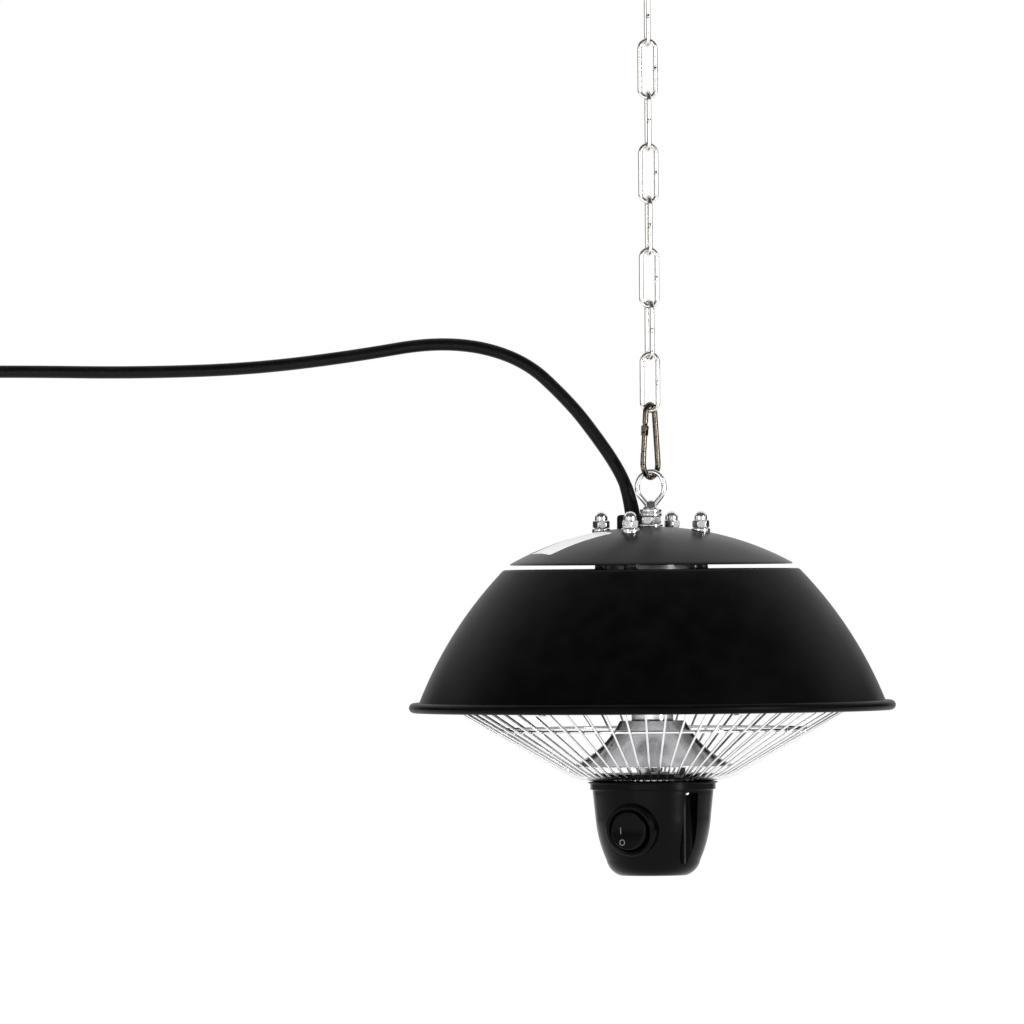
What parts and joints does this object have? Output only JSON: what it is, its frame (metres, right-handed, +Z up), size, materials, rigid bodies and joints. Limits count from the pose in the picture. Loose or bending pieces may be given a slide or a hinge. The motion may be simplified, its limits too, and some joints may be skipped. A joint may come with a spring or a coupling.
{
  "type": "ceiling heater",
  "caption": "Hanging electric patio heater: black shade with a domed cap on a link chain, a ring lamp behind a wire guard, a rocker switch cup below and a mains lead.",
  "frame": {"origin": "the ceiling plane on the axis of the ceiling screw", "axes": "+Z up along the ceiling screw and the chain, the front towards -Y, the mains lead leaves towards -X"},
  "size_m": [0.9259, 0.425, 0.8443],
  "materials": {
    "steel": "polished",
    "nickel": "polished nickel plate",
    "zinc": "bright zinc plate",
    "enamel": "satin black enamel",
    "mirror_sheet": "bright rolled sheet",
    "guard": "chrome plated wire",
    "galvanised": "galvanised",
    "ceramic": "unglazed ceramic",
    "quartz": "clear quartz",
    "tungsten": "drawn wire",
    "moulding": "semi-gloss black",
    "clamp_plastic": "matt black",
    "white_sleeving": "glass fibre sleeve",
    "dark_sleeving": "glass fibre sleeve",
    "cable": "smooth sheath",
    "contact": "nickel plated brass"
  },
  "bodies": {
    "ceiling": {"ceiling_hook": "steel", "lead_coil": "cable", "coil_tie": "clamp_plastic", "plug_body": "cable", "plug_pins": "contact", "plug_earth": "contact"},
    "link_1": {"chain_link_1": "steel"},
    "link_2": {"chain_link_2": "steel"},
    "link_3": {"chain_link_3": "steel"},
    "link_4": {"chain_link_4": "steel"},
    "link_5": {"chain_link_5": "steel"},
    "link_6": {"chain_link_6": "steel"},
    "link_7": {"chain_link_7": "steel"},
    "link_8": {"chain_link_8": "steel"},
    "snap_hook": {"snap_body": "nickel", "snap_pin": "nickel"},
    "gate": {"snap_gate": "nickel"},
    "head": {"eye_nut": "zinc", "eye_lock_nut": "zinc", "eye_washer": "zinc", "hanging_rod": "zinc", "rod_nuts": "zinc", "rod_washers": "zinc", "top_cap": "enamel", "acorn_nuts": "zinc", "cap_washers": "zinc", "cap_spacers": "zinc", "cap_studs": "zinc", "reflector_spacers": "zinc", "inner_nuts": "zinc", "cable_clamp": "clamp_plastic", "clamp_screws": "zinc", "cable_tail": "cable", "terminal_box": "galvanised", "terminal_block": "ceramic", "shade": "enamel", "reflector": "mirror_sheet", "lamp_tube": "quartz", "lamp_filament": "tungsten", "lamp_holders": "ceramic", "lamp_hangers": "guard", "lamp_leads": "white_sleeving", "centre_column": "mirror_sheet", "cone_reflector": "mirror_sheet", "white_lead": "white_sleeving", "black_lead": "dark_sleeving", "guard_wires": "guard", "guard_rings": "guard", "guard_clips": "guard", "cup_lid": "moulding", "switch_cup": "moulding", "cup_screws": "zinc", "switch_bezel": "moulding", "switch_body": "moulding", "switch_blades": "contact", "mains_lead": "cable"},
    "rocker": {"rocker": "moulding"}
  },
  "joints": [
    {"name": "link_1_swing", "type": "hinge", "parent": "ceiling", "child": "link_1", "pos_m": [0, 0, -0.037], "axis": [1, 0, 0], "range_deg": [-20, 20]},
    {"name": "link_2_swing", "type": "hinge", "parent": "link_1", "child": "link_2", "pos_m": [0, 0, -0.08205], "axis": [0, 1, 0], "range_deg": [-20, 20]},
    {"name": "link_3_swing", "type": "hinge", "parent": "link_2", "child": "link_3", "pos_m": [0, 0, -0.1276], "axis": [1, 0, 0], "range_deg": [-20, 20]},
    {"name": "link_4_swing", "type": "hinge", "parent": "link_3", "child": "link_4", "pos_m": [0, 0, -0.17315], "axis": [0, 1, 0], "range_deg": [-20, 20]},
    {"name": "link_5_swing", "type": "hinge", "parent": "link_4", "child": "link_5", "pos_m": [0, 0, -0.2187], "axis": [1, 0, 0], "range_deg": [-20, 20]},
    {"name": "link_6_swing", "type": "hinge", "parent": "link_5", "child": "link_6", "pos_m": [0, 0, -0.26425], "axis": [0, 1, 0], "range_deg": [-20, 20]},
    {"name": "link_7_swing", "type": "hinge", "parent": "link_6", "child": "link_7", "pos_m": [0, 0, -0.3098], "axis": [1, 0, 0], "range_deg": [-20, 20]},
    {"name": "link_8_swing", "type": "hinge", "parent": "link_7", "child": "link_8", "pos_m": [0, 0, -0.35535], "axis": [0, 1, 0], "range_deg": [-20, 20]},
    {"name": "snap_swing", "type": "hinge", "parent": "link_8", "child": "snap_hook", "pos_m": [0, 0, -0.4009], "axis": [1, 0, 0], "range_deg": [-20, 20]},
    {"name": "gate_open", "type": "hinge", "parent": "snap_hook", "child": "gate", "pos_m": [-0.00473, -0.00756, -0.41608], "axis": [0.848, -0.5299, 0], "range_deg": [0, 22], "stiffness_Nm_per_rad": 0.03, "springref_deg": -11.46},
    {"name": "head_swing", "type": "hinge", "parent": "snap_hook", "child": "head", "pos_m": [0, 0, -0.4591], "axis": [0.5299, 0.848, 0], "range_deg": [-20, 20], "deforming": ["mains_lead"]},
    {"name": "rocker_press", "type": "hinge", "parent": "head", "child": "rocker", "pos_m": [-0.01956, -0.04608, -0.76588], "axis": [0.9205, -0.3907, 0], "range_deg": [0, 14]}
  ]
}
